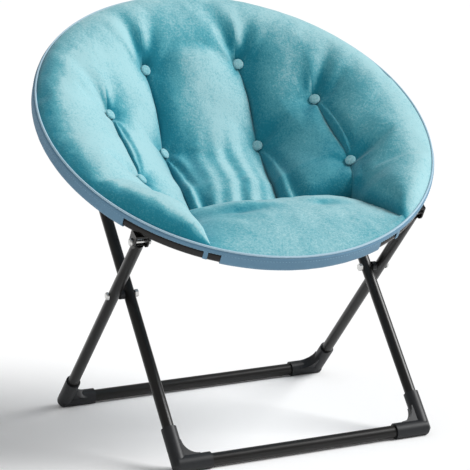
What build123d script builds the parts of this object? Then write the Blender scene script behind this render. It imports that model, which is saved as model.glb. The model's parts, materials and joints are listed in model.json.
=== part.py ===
from build123d import *
import os
from math import acos, atan2, cos, degrees, exp, hypot, radians, sin, sqrt

# Folding moon chair. Millimetres, +Z up, front towards -Y.
# Left and right are those of a person who looks at the chair's front, so +X is right.
# The seat is drawn flat, with its rim's edge plane at Z = 0 and its rear towards +Y, and is then tilted.

# Driving dimensions of the rim
rim_tilt = 32.4
rim_height = 589.0
rim_radius = 381.0
rim_tube_diameter = 22.0
rim_tube_wall = 1.5
rim_tube_drop = 18.0
rim_joint_angle = 10.0
rim_sleeve_length = 80.0

# Driving dimensions of the two leg frames
front_foot_y = -278.6
rear_foot_y = 222.3
foot_axis_height = 14.0
long_leg_half_width = 254.0
leg_spacing = 31.0
leg_tube_diameter = 22.0
leg_tube_wall = 1.5
foot_bar_diameter = 24.0
foot_bar_wall = 1.5
front_pivot_drop = 49.0
rear_pivot_drop = 60.0

# Leg tips: solid ends with a spigot inside the tube
tip_length = 18.0
tip_spigot_length = 22.0
cradle_gap = 0.5

# Corner feet: moulded sleeves over the leg and the foot bar
corner_wall = 3.5
corner_leg_sleeve = 72.0
corner_bar_sleeve = 62.0
corner_heel = 10.0
corner_heel_round = 6.0
corner_inner_round = 30.0
corner_gusset_thickness = 20.0
corner_gusset_sink = 1.5
socket_start = 20.0

# Brackets under the rim
bracket_plate = 3.0
bracket_radius = 12.0
bracket_web = 3.0
bracket_saddle = 2.0
bracket_side_gap = 0.5

# Bolts, nuts and spacers
bolt_diameter = 8.0
bolt_head_diameter = 15.0
bolt_head_height = 5.0
bolt_head_round = 3.0
nut_width = 13.0
nut_height = 6.5
spacer_diameter = 18.0

# Fits
running_fit = 0.06
seat_fit = 0.1
moving_gap = 0.3
soft_gap = 0.3
pocket_gap = 0.6
seam_gap = 0.6

# Fabric edge: band, piping, tube pockets and straps; insets are measured along the radius
band_inset = 3.0
band_width = 17.0
band_height = 10.7
band_round = 4.0
piping_diameter = 4.4
piping_inset = 7.7
pocket_thickness = 2.0
pocket_upper_angle = 48.0
pocket_lower_angle = -135.0
strap_lower_angle = -20.0
strap_width = 8.0
strap_angles = (-120.0, -60.0)

# Bare tube between a pocket's end and the nearest bracket's middle, along the rim
rear_pocket_bare = 38.6
side_pocket_rear_bare = 41.2
left_pocket_front_bare = 33.9
right_pocket_front_bare = 137.0
front_pocket_left_bare = 149.0
front_pocket_right_bare = 175.6

# Sling: the fabric dish that hangs in the rim and carries the cushion
sling_thickness = 2.4
sling_edge_gap = 0.7
sling_edge_depth = 20.0
brim_width = 64.3
brim_depth = 44.0
dish_wall_width = 80.0
dish_wall_depth = 120.0
dish_depth = 192.0
front_lip_width = 17.3
front_lip_depth = 44.0
front_dish_width = 62.0
front_dish_depth = 88.0

# Cushion: valleys follow a bell-shaped dish, and each panel is crowned between its sewn channels
valley_depth = 168.0
valley_steepness = 2.7
valley_front = -60.0
inner_channel_x = 102.0
outer_channel_x = 222.0
crease_y = -158.0
back_puff_high = 33.0
back_puff_low = 26.0
back_puff_low_y = 20.0
side_puff = 38.0
side_margin = 40.0
nose_puff = 6.0
nose_y = -225.0
nose_reach = 62.0
front_slope = 0.42
front_slope_start = -320.0
cushion_roll_height = 28.0
cushion_roll_width = 46.0
cushion_roll_bulge = 20.0
cushion_ledge = 6.2

# Radii of the seat, from the rim inwards
rim_tube_radius = rim_tube_diameter / 2
band_inner_radius = rim_radius - band_inset
piping_radius = band_inner_radius + piping_inset
cushion_edge_radius = band_inner_radius - soft_gap
cushion_roll_radius = cushion_edge_radius - cushion_roll_width
sling_edge_radius = rim_radius - rim_tube_radius - sling_edge_gap
brim_radius = sling_edge_radius - brim_width
dish_wall_radius = brim_radius - dish_wall_width
front_lip_radius = sling_edge_radius - front_lip_width
front_dish_radius = front_lip_radius - front_dish_width

# Plan views of the cushion are drawn out to this distance, past the rim
plan_reach = band_inner_radius + 2 * band_width

# Where the side panels meet the back and seat panels: position along the seat, then half-width there
side_seam = (
    (plan_reach, outer_channel_x),
    (-91.0, outer_channel_x),
    (-150.0, 203.0),
    (-200.0, 200.0),
    (-260.0, 212.0),
    (-plan_reach, 225.0),
)

# Seat panel: position along the seat, depth at its middle and at its sides
seat_form = (
    (crease_y, -100.0, -100.0),
    (-166.0, -70.0, -76.0),
    (-186.0, -44.0, -58.0),
    (-230.0, -22.0, -38.0),
    (-290.0, -4.0, -13.0),
    (-345.0, 4.0, -2.0),
    (-plan_reach, 2.0, 0.0),
)
back_stations = (plan_reach, 330.0, 270.0, 217.0, 140.0, 61.0, -20.0, -90.0, crease_y)
side_stations = (
    cushion_roll_radius, 270.0, 190.0, 91.0, 0.0, -91.0, -150.0, -200.0, -260.0, -cushion_roll_radius
)

# Sewn tufts with covered buttons; away from them the seams fade and the panels run on
seam_fade = 42.0
seam_fill = 0.92
tuft_ring_radius = 240.0
low_tuft_y = 61.0
tuft_slope_step = 1.0
tuft_margin = 1.0
tuft_flare = 16.0
tuft_depth = 20.0
tuft_sink = 1.5
button_radius = 11.0
button_round = 3.5
button_height = 6.0

# Values worked out from the driving dimensions
high_tuft_y = sqrt(tuft_ring_radius**2 - inner_channel_x**2)
wide_tuft_y = sqrt(tuft_ring_radius**2 - outer_channel_x**2)
leg_radius = leg_tube_diameter / 2
short_leg_half_width = long_leg_half_width + leg_spacing
bolt_radius = bolt_diameter / 2
front_pivot_y = -sqrt(rim_radius**2 - short_leg_half_width**2)
rear_pivot_y = sqrt(rim_radius**2 - long_leg_half_width**2)
band_bottom = rim_tube_radius - rim_tube_drop + soft_gap
band_top = band_bottom + band_height
tilt_cos = cos(radians(rim_tilt))
tilt_sin = sin(radians(rim_tilt))
seat_plane = Plane(origin=(0, 0, rim_height), x_dir=(1, 0, 0), z_dir=(0, -tilt_sin, tilt_cos))


def seat_to_chair(y, z):
    """Side-view position in the chair of a point given in the seat's own frame."""
    return Vector(0, y * tilt_cos - z * tilt_sin, rim_height + y * tilt_sin + z * tilt_cos)


# Pivots in side view: long legs run from the front foot to the rear pivot, short legs the other way
rear_pivot = seat_to_chair(rear_pivot_y, -rear_pivot_drop)
front_pivot = seat_to_chair(front_pivot_y, -front_pivot_drop)
front_foot = Vector(0, front_foot_y, foot_axis_height)
rear_foot = Vector(0, rear_foot_y, foot_axis_height)
long_leg = rear_pivot - front_foot
short_leg = front_pivot - rear_foot
foot_span = rear_foot - front_foot
crossing_share = foot_span.Y * short_leg.Z / (long_leg.Y * short_leg.Z - long_leg.Z * short_leg.Y)
crossing_long = crossing_share * long_leg.length
crossing = front_foot + long_leg.normalized() * crossing_long
crossing_short = (crossing - rear_foot).length


def mirrored(shape):
    return mirror(shape, Plane.YZ)


def upright(face):
    """Turns a face drawn in the XY plane up into the XZ plane."""
    return Rot(90, 0, 0) * face


def rim_turn(length):
    """The angle that a length along the rim takes up."""
    return degrees(length / rim_radius)


def ring_arc(face, start, end):
    """Sweeps a face of the XZ plane round the seat's axis between two angles."""
    return revolve(Rot(0, 0, start) * face, Axis.Z, end - start)


def cross_cylinder(radius, length, z):
    """A cylinder along X, centred at height z of a leg's own frame."""
    return Pos(0, 0, z) * (Rot(0, 90, 0) * Cylinder(radius, length))


# Seat frame: rim tubes and sleeves
def tube_face(outer, inner):
    ring = Circle(outer) - Circle(inner)
    return Pos(rim_radius, 0, -rim_tube_drop) * upright(ring)


def rim_tube(start, end):
    return ring_arc(tube_face(rim_tube_radius, rim_tube_radius - rim_tube_wall), start, end)


def rim_sleeves():
    outer = rim_tube_radius - rim_tube_wall - seat_fit
    face = tube_face(outer, outer - rim_tube_wall)
    middles = (-rim_joint_angle, 180 + rim_joint_angle)
    half_turn = rim_turn(rim_sleeve_length / 2)
    return [ring_arc(face, a - half_turn, a + half_turn) for a in middles]


# Seat frame: U-shaped brackets, drawn at x = 0 and moved to their leg
def bracket(half_width, pivot_y, drop):
    inner = leg_tube_diameter + 2 * bracket_side_gap
    outer = inner + 2 * bracket_plate
    tube_bottom = rim_tube_drop + rim_tube_radius
    top = bracket_saddle - tube_bottom
    web_bottom = -tube_bottom - bracket_web
    rounded = Rot(0, 90, 0) * Cylinder(bracket_radius, outer)
    block = Box(outer, 2 * bracket_radius, drop + top, align=(Align.CENTER, Align.CENTER, Align.MIN))
    body = Pos(0, 0, -drop) * (rounded + block)
    room = Box(inner, 4 * bracket_radius, 2 * drop, align=(Align.CENTER, Align.CENTER, Align.MAX))
    body = body - Pos(0, 0, web_bottom) * room
    body = body - Pos(0, 0, -drop) * (Rot(0, 90, 0) * Cylinder(bolt_radius + seat_fit, 2 * outer))
    saddle = tube_face(rim_tube_radius + seat_fit, rim_tube_radius / 2)
    return Pos(half_width, pivot_y, 0) * body - ring_arc(saddle, 0, 360)


def dome_bolt(grip, shank_end):
    """A bolt along +X: the domed head's seat is at x = 0 and the shank runs to negative x."""
    shank = Pos(-grip / 2, 0, 0) * (Rot(0, 90, 0) * Cylinder(bolt_radius, grip))
    stub = Pos(-grip - shank_end / 2, 0, 0) * (Rot(0, 90, 0) * Cylinder(bolt_radius, shank_end))
    head = Cylinder(bolt_head_diameter / 2, bolt_head_height, align=(Align.CENTER, Align.CENTER, Align.MIN))
    head = fillet(head.faces().sort_by(Axis.Z)[-1].edges(), bolt_head_round)
    return shank + stub + Rot(0, 90, 0) * head


def hex_nut():
    """A nut along X: its seat is at x = 0 and it stands towards negative x."""
    hexagon = RegularPolygon(nut_width / 2, 6, major_radius=False) - Circle(bolt_radius + seat_fit)
    return Rot(0, -90, 0) * extrude(hexagon, nut_height)


def bracket_bolt(half_width, pivot_y, drop):
    outer_half = leg_radius + bracket_side_gap + bracket_plate
    place = Pos(half_width + outer_half, pivot_y, -drop)
    return place * dome_bolt(2 * outer_half, nut_height)


def bracket_nut(half_width, pivot_y, drop):
    outer_half = leg_radius + bracket_side_gap + bracket_plate
    return Pos(half_width - outer_half, pivot_y, -drop) * hex_nut()


# Fabric edge
def band():
    middle_radius = band_inner_radius + band_width / 2
    middle = (band_bottom + band_top) / 2
    face = Pos(middle_radius, 0, middle) * upright(RectangleRounded(band_width, band_height, band_round))
    return ring_arc(face, 0, 360)


def piping():
    middle = band_top + piping_diameter / 2 + seat_fit
    face = Pos(piping_radius, 0, middle) * upright(Circle(piping_diameter / 2))
    return ring_arc(face, 0, 360)


def wrap(start, end, lower_angle):
    """A strip of cloth round the outside of the rim tube."""
    inner = rim_tube_radius + pocket_gap
    outer = inner + pocket_thickness
    turn = pocket_upper_angle - lower_angle
    outside = CenterArc((0, 0), outer, lower_angle, turn)
    inside = CenterArc((0, 0), inner, lower_angle, turn)
    ends = [Line(outside @ 0, inside @ 0), Line(outside @ 1, inside @ 1)]
    face = make_face([outside, inside] + ends)
    return ring_arc(Pos(rim_radius, 0, -rim_tube_drop) * upright(face), start, end)


def straps():
    half_turn = rim_turn(strap_width / 2)
    return [wrap(a - half_turn, a + half_turn, strap_lower_angle) for a in strap_angles]


def pockets():
    """The four tube pockets, each between two brackets."""
    front = degrees(acos(short_leg_half_width / rim_radius))
    rear = degrees(acos(long_leg_half_width / rim_radius))
    side_rear = rear - rim_turn(side_pocket_rear_bare)
    back_start = rear + rim_turn(rear_pocket_bare)
    left_end = 180 + front - rim_turn(left_pocket_front_bare)
    right_start = rim_turn(right_pocket_front_bare) - front
    front_start = 180 + front + rim_turn(front_pocket_left_bare)
    front_end = 360 - front - rim_turn(front_pocket_right_bare)
    return {
        "pocket_left": wrap(180 - side_rear, left_end, pocket_lower_angle),
        "pocket_right": wrap(right_start, side_rear, pocket_lower_angle),
        "pocket_rear": wrap(back_start, 180 - back_start, pocket_lower_angle),
        "pocket_front": wrap(front_start, front_end, pocket_lower_angle),
    }


# Sling and cushion envelopes, as outlines in radius and height
def point(radius, height):
    return (radius, 0, height)


def floor_arc(radius, height, bottom):
    """A round floor from a radius and height down to the axis, level where it meets the axis."""
    rise = height - bottom
    ball = (radius**2 + rise**2) / (2 * rise)
    half_way = point(radius / 2, bottom + ball - sqrt(ball**2 - radius**2 / 4))
    return ThreePointArc(point(radius, height), half_way, point(0, bottom))


def dish_edges(lower):
    """The dish's outline from its edge to the axis, lowered by a distance."""
    edge = point(sling_edge_radius, -sling_edge_depth - lower)
    brim = point(brim_radius, -brim_depth - lower)
    wall = point(dish_wall_radius, -dish_wall_depth - lower)
    floor = floor_arc(dish_wall_radius, -dish_wall_depth - lower, -dish_depth - lower)
    return [Line(edge, brim), Line(brim, wall), floor]


def front_edges(lower):
    """The deeper outline in front, under the seat panel."""
    edge = point(sling_edge_radius, -sling_edge_depth - lower)
    lip = point(front_lip_radius, -front_lip_depth - lower)
    dish = point(front_dish_radius, -front_dish_depth - lower)
    floor = floor_arc(front_dish_radius, -front_dish_depth - lower, -dish_depth - lower)
    return [Line(edge, lip), Line(lip, dish), floor]


def shell(edges_at):
    """A sheet of cloth between an outline and the same outline one thickness lower."""
    upper = edges_at(soft_gap)
    lower = edges_at(soft_gap + sling_thickness)
    closing = [Line(upper[0] @ 0, lower[0] @ 0), Line(upper[-1] @ 1, lower[-1] @ 1)]
    return ring_arc(make_face(upper + lower + closing), 0, 360)


def cushion_envelope(edges_at):
    """Everything above an outline, with the rolled edge that stands inside the band."""
    below = edges_at(0)
    ledge = point(sling_edge_radius, -cushion_ledge)
    step = point(cushion_edge_radius, -cushion_ledge)
    shoulder = point(cushion_edge_radius, 0)
    roll = point(cushion_edge_radius - cushion_roll_width / 3, cushion_roll_bulge)
    crown = point(cushion_roll_radius, cushion_roll_height)
    middle = point(0, cushion_roll_height)
    sides = [Line(below[0] @ 0, ledge), Line(ledge, step), Line(step, shoulder)]
    top = [ThreePointArc(shoulder, roll, crown), Line(crown, middle), Line(middle, below[-1] @ 1)]
    return ring_arc(make_face(below + sides + top), 0, 360)


def seam_x(y):
    """Half-width of the side seam at a position along the seat."""
    for (y0, x0), (y1, x1) in zip(side_seam, side_seam[1:]):
        if y1 <= y <= y0:
            return x0 + (x1 - x0) * (y0 - y) / (y0 - y1)
    return side_seam[-1][1]


def valley(x, y):
    """Depth of the sewn valleys: a bell-shaped dish that stays deep towards the seat crease."""
    share = min(hypot(x, max(y, valley_front)) / band_inner_radius, 1.0)
    return -valley_depth * (1 - share**2) ** valley_steepness


def side_valley(x, y):
    """Depth along the side seam, which climbs to the rim in front."""
    if y >= crease_y:
        return valley(x, y)
    return max(valley(x, y), front_slope * (front_slope_start - y))


def back_puff(y):
    """How far the back panels swell above their seams: more above the low tufts than below them."""
    share = (y - back_puff_low_y) / (low_tuft_y - back_puff_low_y)
    return back_puff_low + (back_puff_high - back_puff_low) * min(max(share, 0.0), 1.0)


def faded(y, distance):
    """Height that a seam rises above its valley at a distance past the last tuft that holds it."""
    share = min(max(distance / seam_fade, 0.0), 1.0)
    return seam_fill * back_puff(y) * share


def inner_seam_depth(y):
    return valley(inner_channel_x, y) + faded(y, y - high_tuft_y)


def outer_seam_depth(y):
    """Depth of the side seam: drawn down between its tufts and beside the seat, shallow elsewhere."""
    past_tufts = abs(y) - wide_tuft_y
    before_seat = y - crease_y
    return side_valley(seam_x(y), y) + faded(y, min(past_tufts, before_seat))


def crowned_section(y, x0, x1, z0, z1, crown):
    """One slice of a panel: flat sides, with an arc across the top."""
    floor = -2 * dish_depth
    low0, low1 = (x0, y, floor), (x1, y, floor)
    high0, high1 = (x0, y, z0), (x1, y, z1)
    top = ThreePointArc(high0, ((x0 + x1) / 2, y, crown), high1)
    return make_face([Line(low0, low1), Line(low1, high1), top, Line(high0, low0)])


def seam_run(rear, front, offset):
    """Points along the side seam between two positions, moved sideways by an offset."""
    stations = [rear] + [y for y, x in side_seam if front < y < rear] + [front]
    return [(seam_x(y) + offset, y) for y in stations]


def plan_column(points):
    """An upright column over an outline of the seat seen from above."""
    return extrude(make_face(Polyline(*points, close=True)), 2 * dish_depth, both=True)


def seat_column(grow):
    """The column that the seat panel stands in, grown by a distance."""
    right = seam_run(crease_y + grow, -plan_reach, grow)
    left = [(-x, y) for x, y in reversed(right)]
    return plan_column(right + left)


def outer_back_column():
    channel = inner_channel_x + seam_gap / 2
    front = crease_y + seam_gap / 2
    seam = seam_run(plan_reach, front, -seam_gap / 2)
    return plan_column([(channel, plan_reach)] + seam + [(channel, front)])


def side_column():
    seam = seam_run(plan_reach, -plan_reach, seam_gap / 2)
    return plan_column(seam + [(plan_reach, -plan_reach), (plan_reach, plan_reach)])


def back_sections(x0_at, x1_at, z0_at, z1_at):
    sections = []
    for y in back_stations:
        y_cut = max(y, crease_y + seam_gap / 2)
        x0, x1 = x0_at(y_cut), x1_at(y_cut)
        z0, z1 = z0_at(y_cut), z1_at(y_cut)
        crown = (valley(x0, y_cut) + valley(x1, y_cut)) / 2 + back_puff(y_cut)
        sections.append(crowned_section(y_cut, x0, x1, z0, z1, crown))
    return sections


def centre_back_panel():
    half_width = inner_channel_x - seam_gap / 2
    sections = back_sections(lambda y: -half_width, lambda y: half_width, inner_seam_depth, inner_seam_depth)
    return loft(sections) & cushion_envelope(dish_edges)


def outer_back_panel():
    channel = inner_channel_x + seam_gap / 2
    sections = back_sections(lambda y: channel, seam_x, inner_seam_depth, outer_seam_depth)
    return loft(sections) & outer_back_column() & cushion_envelope(dish_edges)


def side_panel():
    sections = []
    for y in side_stations:
        x0 = seam_x(y)
        x1 = max(sqrt(cushion_edge_radius**2 - y**2), x0) + side_margin
        nose = nose_puff * exp(-(((y - nose_y) / nose_reach) ** 2))
        crown = side_valley(x0, y) / 2 + side_puff + nose
        sections.append(crowned_section(y, x0, x1, outer_seam_depth(y), 0, crown))
    return loft(sections) & side_column() & cushion_envelope(dish_edges)


def seat_panel():
    sections = []
    for y, middle, side in seat_form:
        y_cut = min(y, crease_y - seam_gap / 2)
        x = seam_x(y_cut)
        crown = max(middle, side + seam_gap)
        sections.append(crowned_section(y_cut, -x, x, side, side, crown))
    return loft(sections) & seat_column(-seam_gap / 2) & cushion_envelope(front_edges)


def sling_bowl():
    return shell(dish_edges) - seat_column(seam_gap / 2)


def sling_front():
    return shell(front_edges) & seat_column(-seam_gap / 2)


def tuft_planes():
    """A plane at each tuft, square to the valley surface."""
    spots = [(inner_channel_x, high_tuft_y), (outer_channel_x, wide_tuft_y), (outer_channel_x, -wide_tuft_y)]
    spots.append((inner_channel_x, low_tuft_y))
    planes = []
    for x, y in spots + [(-x, y) for x, y in spots]:
        step = tuft_slope_step
        slope_x = (valley(x + step, y) - valley(x - step, y)) / (2 * step)
        slope_y = (valley(x, y + step) - valley(x, y - step)) / (2 * step)
        planes.append(Plane(origin=(x, y, valley(x, y)), z_dir=(-slope_x, -slope_y, 1)))
    return planes


def tuft_hollows():
    low = (Align.CENTER, Align.CENTER, Align.MIN)
    floor_radius = button_radius + tuft_margin
    hollow = Cone(floor_radius, floor_radius + tuft_flare, tuft_depth, align=low)
    return [plane.location * (Pos(0, 0, -tuft_sink) * hollow) for plane in tuft_planes()]


def buttons():
    disc = Cylinder(button_radius, button_height, align=(Align.CENTER, Align.CENTER, Align.MIN))
    disc = fillet(disc.faces().sort_by(Axis.Z)[-1].edges(), button_round)
    return [plane.location * (Pos(0, 0, seat_fit - tuft_sink) * disc) for plane in tuft_planes()]


# Leg frames, drawn with the foot corner at the origin and the leg along +Z
def leg_tube(length, crossing_at, hole_fit):
    start = socket_start + seat_fit
    tube_length = length - tip_length - start
    tube = Pos(0, 0, start + tube_length / 2) * (
        Cylinder(leg_radius, tube_length) - Cylinder(leg_radius - leg_tube_wall, tube_length)
    )
    return tube - cross_cylinder(bolt_radius + hole_fit, 2 * leg_tube_diameter, crossing_at)


def leg_tip(length):
    """A solid end, rounded about the pivot, with a spigot inside the tube."""
    low = (Align.CENTER, Align.CENTER, Align.MIN)
    column = Pos(0, 0, length - tip_length) * Cylinder(leg_radius, tip_length + leg_radius, align=low)
    rounded = cross_cylinder(leg_radius, leg_tube_diameter, length)
    neck = Pos(0, 0, length - tip_length) * Box(leg_tube_diameter, leg_tube_diameter, tip_length, align=low)
    spigot_radius = leg_radius - leg_tube_wall - seat_fit
    spigot = Cylinder(spigot_radius, tip_spigot_length, align=(Align.CENTER, Align.CENTER, Align.MAX))
    return (column & (rounded + neck)) + Pos(0, 0, length - tip_length) * spigot


def pivot_tip(length):
    return leg_tip(length) - cross_cylinder(bolt_radius + running_fit, 2 * leg_tube_diameter, length)


def cradle_tip(length):
    """The tip cut off level with the bracket's bolt, with a groove for the bolt that opens to the front."""
    groove_radius = bolt_radius + cradle_gap
    wide = 2 * leg_tube_diameter
    groove = cross_cylinder(groove_radius, wide, length)
    mouth = Box(wide, wide, 2 * groove_radius, align=(Align.CENTER, Align.MAX, Align.CENTER))
    above = Box(wide, wide, wide, align=(Align.CENTER, Align.CENTER, Align.MIN))
    return leg_tip(length) - groove - Pos(0, 0, length) * mouth - Pos(0, 0, length) * above


def foot_bar(half_width):
    length = 2 * (half_width - socket_start - seat_fit)
    bar_radius = foot_bar_diameter / 2
    return Rot(0, 90, 0) * (Cylinder(bar_radius, length) - Cylinder(bar_radius - foot_bar_wall, length))


def heeled_sleeve(radius, length):
    """A sleeve along +Z whose closed end stands past the corner, with a rounded rim."""
    sleeve = Cylinder(radius, length + corner_heel, align=(Align.CENTER, Align.CENTER, Align.MIN))
    sleeve = fillet(sleeve.faces().sort_by(Axis.Z)[0].edges(), corner_heel_round)
    return Pos(0, 0, -corner_heel) * sleeve


def corner_gusset(leg_side, bar_side):
    """The web inside a corner, with a round edge that runs into the leg and the bar sleeves."""
    leg_face = leg_side - corner_gusset_sink
    bar_face = bar_side - corner_gusset_sink
    along = leg_face + corner_inner_round
    up = bar_face + corner_inner_round
    bend = corner_inner_round * (1 - sqrt(0.5))
    inner_arc = ThreePointArc((-along, bar_face), (-leg_face - bend, bar_face + bend), (-leg_face, up))
    straight = Polyline((-leg_face, up), (0, up), (0, 0), (-along, 0), (-along, bar_face))
    return extrude(upright(make_face([inner_arc, straight])), corner_gusset_thickness / 2, both=True)


def corner_foot():
    """A corner on the +X side of a frame: the leg goes up +Z and the bar goes towards -X."""
    bar_radius = foot_bar_diameter / 2
    leg_side = leg_radius + corner_wall
    bar_side = bar_radius + corner_wall
    bar_turn = Rot(0, -90, 0)
    body = heeled_sleeve(leg_side, corner_leg_sleeve) + bar_turn * heeled_sleeve(bar_side, corner_bar_sleeve)
    body = body + corner_gusset(leg_side, bar_side)
    low = (Align.CENTER, Align.CENTER, Align.MIN)
    leg_socket = Pos(0, 0, socket_start) * Cylinder(leg_radius + seat_fit, corner_leg_sleeve, align=low)
    bar_socket = Pos(0, 0, socket_start) * Cylinder(bar_radius + seat_fit, corner_bar_sleeve, align=low)
    return body - leg_socket - bar_turn * bar_socket


def frame_plane(foot, leg, half_width):
    return Plane(origin=foot + Vector(half_width, 0, 0), x_dir=(1, 0, 0), z_dir=leg.normalized())


def flat_soled(shape):
    """Cuts a placed corner foot flat where it stands on the floor."""
    floor_block = Box(4 * corner_leg_sleeve, 4 * corner_leg_sleeve, corner_leg_sleeve)
    centre = shape.center()
    return shape - Pos(centre.X, centre.Y, -corner_leg_sleeve / 2) * floor_block


# Crossing pivot: bolt through short leg, spacer and long leg, on the +X side
def crossing_parts():
    bolt_seat = short_leg_half_width + leg_radius + moving_gap
    nut_seat = long_leg_half_width - leg_radius
    spacer_low = long_leg_half_width + leg_radius
    spacer_high = short_leg_half_width - leg_radius - moving_gap
    at = Pos(0, crossing.Y, crossing.Z)
    spacer_length = spacer_high - spacer_low
    ring = Cylinder(spacer_diameter / 2, spacer_length) - Cylinder(bolt_radius + seat_fit, 2 * spacer_length)
    bolt = at * (Pos(bolt_seat, 0, 0) * dome_bolt(bolt_seat - nut_seat, nut_height))
    spacer = at * (Pos((spacer_low + spacer_high) / 2, 0, 0) * (Rot(0, 90, 0) * ring))
    nut = at * (Pos(nut_seat, 0, 0) * hex_nut())
    return bolt, spacer, nut


def pair(shape):
    """A piece of the +X side with its mirror image, as one group."""
    return [shape, mirrored(shape)]


def seat_nodes():
    hollows = tuft_hollows()
    right = outer_back_panel()
    side = side_panel()
    front = (short_leg_half_width, front_pivot_y, front_pivot_drop)
    rear = (long_leg_half_width, rear_pivot_y, rear_pivot_drop)
    nodes = {
        "rear_rim_tube": rim_tube(-rim_joint_angle, 180 + rim_joint_angle),
        "front_rim_tube": rim_tube(180 + rim_joint_angle, 360 - rim_joint_angle),
        "rim_joint_sleeves": rim_sleeves(),
        "front_bracket_right": bracket(*front),
        "front_bracket_left": mirrored(bracket(*front)),
        "rear_bracket_right": bracket(*rear),
        "rear_bracket_left": mirrored(bracket(*rear)),
        "front_bracket_bolts": pair(bracket_bolt(*front)),
        "front_bracket_nuts": pair(bracket_nut(*front)),
        "rear_bracket_bolts": pair(bracket_bolt(*rear)),
        "rear_bracket_nuts": pair(bracket_nut(*rear)),
        "edge_band": band(),
        "edge_piping": piping(),
        **pockets(),
        "rim_straps": straps(),
        "sling_bowl": sling_bowl(),
        "sling_front": sling_front(),
        "seat_panel": seat_panel(),
        "back_panel_centre": centre_back_panel() - hollows,
        "back_panel_right": right - hollows,
        "back_panel_left": mirrored(right) - hollows,
        "side_panel_right": side - hollows,
        "side_panel_left": mirrored(side) - hollows,
        "tuft_buttons": buttons(),
    }
    return {name: place(seat_plane.location, shape) for name, shape in nodes.items()}


def place(location, shape):
    if isinstance(shape, list):
        return [location * piece for piece in shape]
    return location * shape


def leg_nodes():
    nodes = {}
    long_plane = frame_plane(front_foot, long_leg, long_leg_half_width).location
    short_plane = frame_plane(rear_foot, short_leg, short_leg_half_width).location
    right_pieces = {
        "long_leg": long_plane * leg_tube(long_leg.length, crossing_long, seat_fit),
        "long_leg_tip": long_plane * pivot_tip(long_leg.length),
        "front_corner_foot": flat_soled(long_plane * corner_foot()),
        "short_leg": short_plane * leg_tube(short_leg.length, crossing_short, running_fit),
        "short_leg_cradle": short_plane * cradle_tip(short_leg.length),
        "rear_corner_foot": flat_soled(short_plane * corner_foot()),
    }
    for name, piece in right_pieces.items():
        nodes[name + "_right"] = piece
        nodes[name + "_left"] = mirrored(piece)
    nodes["front_foot_bar"] = Pos(front_foot) * foot_bar(long_leg_half_width)
    nodes["rear_foot_bar"] = Pos(rear_foot) * foot_bar(short_leg_half_width)
    bolt, spacer, nut = crossing_parts()
    nodes["crossing_bolts"] = pair(bolt)
    nodes["crossing_spacers"] = pair(spacer)
    nodes["crossing_nuts"] = pair(nut)
    return nodes


def main():
    nodes = {**seat_nodes(), **leg_nodes()}
    shapes = {}
    for name, shape in nodes.items():
        pieces = shape if isinstance(shape, list) else [shape]
        shapes[name] = Compound([solid for piece in pieces for solid in piece.solids()])
    # The origin lies on the floor under the middle of the chair's box
    whole = Compound(list(shapes.values())).bounding_box()
    shift = Pos(0, -(whole.min.Y + whole.max.Y) / 2, 0)
    os.makedirs("parts", exist_ok=True)
    for name, shape in shapes.items():
        moved = shift * shape
        solids = moved.solids()
        export_step(solids[0] if len(solids) == 1 else Compound(solids), f"parts/{name}.step")
    shift_y = shift.position.Y
    fold = degrees(atan2(long_leg.Z, long_leg.Y)) - degrees(atan2(short_leg.Z, short_leg.Y))
    print(f"origin moved by {shift_y:.3f}")
    print(f"legs lie side by side after {-fold:.2f} degrees")
    print(f"crossing pivot y {crossing.Y + shift_y:.3f} z {crossing.Z:.3f}")
    print(f"rear pivot y {rear_pivot.Y + shift_y:.3f} z {rear_pivot.Z:.3f}")
    print(f"front bolt y {front_pivot.Y + shift_y:.3f} z {front_pivot.Z:.3f}")
    print(f"box {whole.size.X:.2f} by {whole.size.Y:.2f} by {whole.size.Z:.2f}")


main()
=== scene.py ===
import json
import math

import bmesh
import bpy
import numpy as np
from mathutils import Matrix, Vector, noise


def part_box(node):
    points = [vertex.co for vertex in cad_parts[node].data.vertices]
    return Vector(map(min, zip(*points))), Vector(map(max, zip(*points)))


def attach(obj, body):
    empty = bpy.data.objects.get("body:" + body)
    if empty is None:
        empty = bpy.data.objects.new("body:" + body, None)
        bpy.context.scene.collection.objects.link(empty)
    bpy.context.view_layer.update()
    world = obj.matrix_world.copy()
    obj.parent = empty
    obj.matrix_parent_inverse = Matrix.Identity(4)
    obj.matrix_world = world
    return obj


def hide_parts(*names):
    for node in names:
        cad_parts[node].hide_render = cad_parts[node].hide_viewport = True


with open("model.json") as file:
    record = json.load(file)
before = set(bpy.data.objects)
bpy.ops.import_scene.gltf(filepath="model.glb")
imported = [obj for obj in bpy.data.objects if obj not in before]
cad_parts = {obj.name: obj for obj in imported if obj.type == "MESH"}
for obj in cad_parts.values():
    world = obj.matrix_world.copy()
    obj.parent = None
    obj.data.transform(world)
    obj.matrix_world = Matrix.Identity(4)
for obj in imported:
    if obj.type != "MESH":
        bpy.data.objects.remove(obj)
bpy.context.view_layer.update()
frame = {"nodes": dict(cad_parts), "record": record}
nodes = frame["nodes"]
print("frame loaded:", len(nodes), "nodes")

mm = 0.001

# The seat is worked out flat, with its edge plane at n = 0, v to the rear and x to the right, then tilted.
seatFrame = {"tilt": math.radians(32.4), "rimHeight": 589.0, "bandMiddle": -1.35}
bandLow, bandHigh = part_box("edge_band")
bandShift = seatFrame["bandMiddle"] * math.sin(seatFrame["tilt"])
seatFrame["midY"] = (bandLow[1] + bandHigh[1]) / 2 / mm + bandShift


def seatToChair(x, v, n):
    tilt = seatFrame["tilt"]
    y = seatFrame["midY"] + v * math.cos(tilt) - n * math.sin(tilt)
    z = seatFrame["rimHeight"] + v * math.sin(tilt) + n * math.cos(tilt)
    return np.stack([x + 0 * y, y, z], axis=-1) * mm


# Points closer than the weld are one, and edges that turn by more than the sharp angle stay sharp.
meshing = {"weld": 0.00002, "sharpTrim": 55, "sharpPad": 50}


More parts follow.
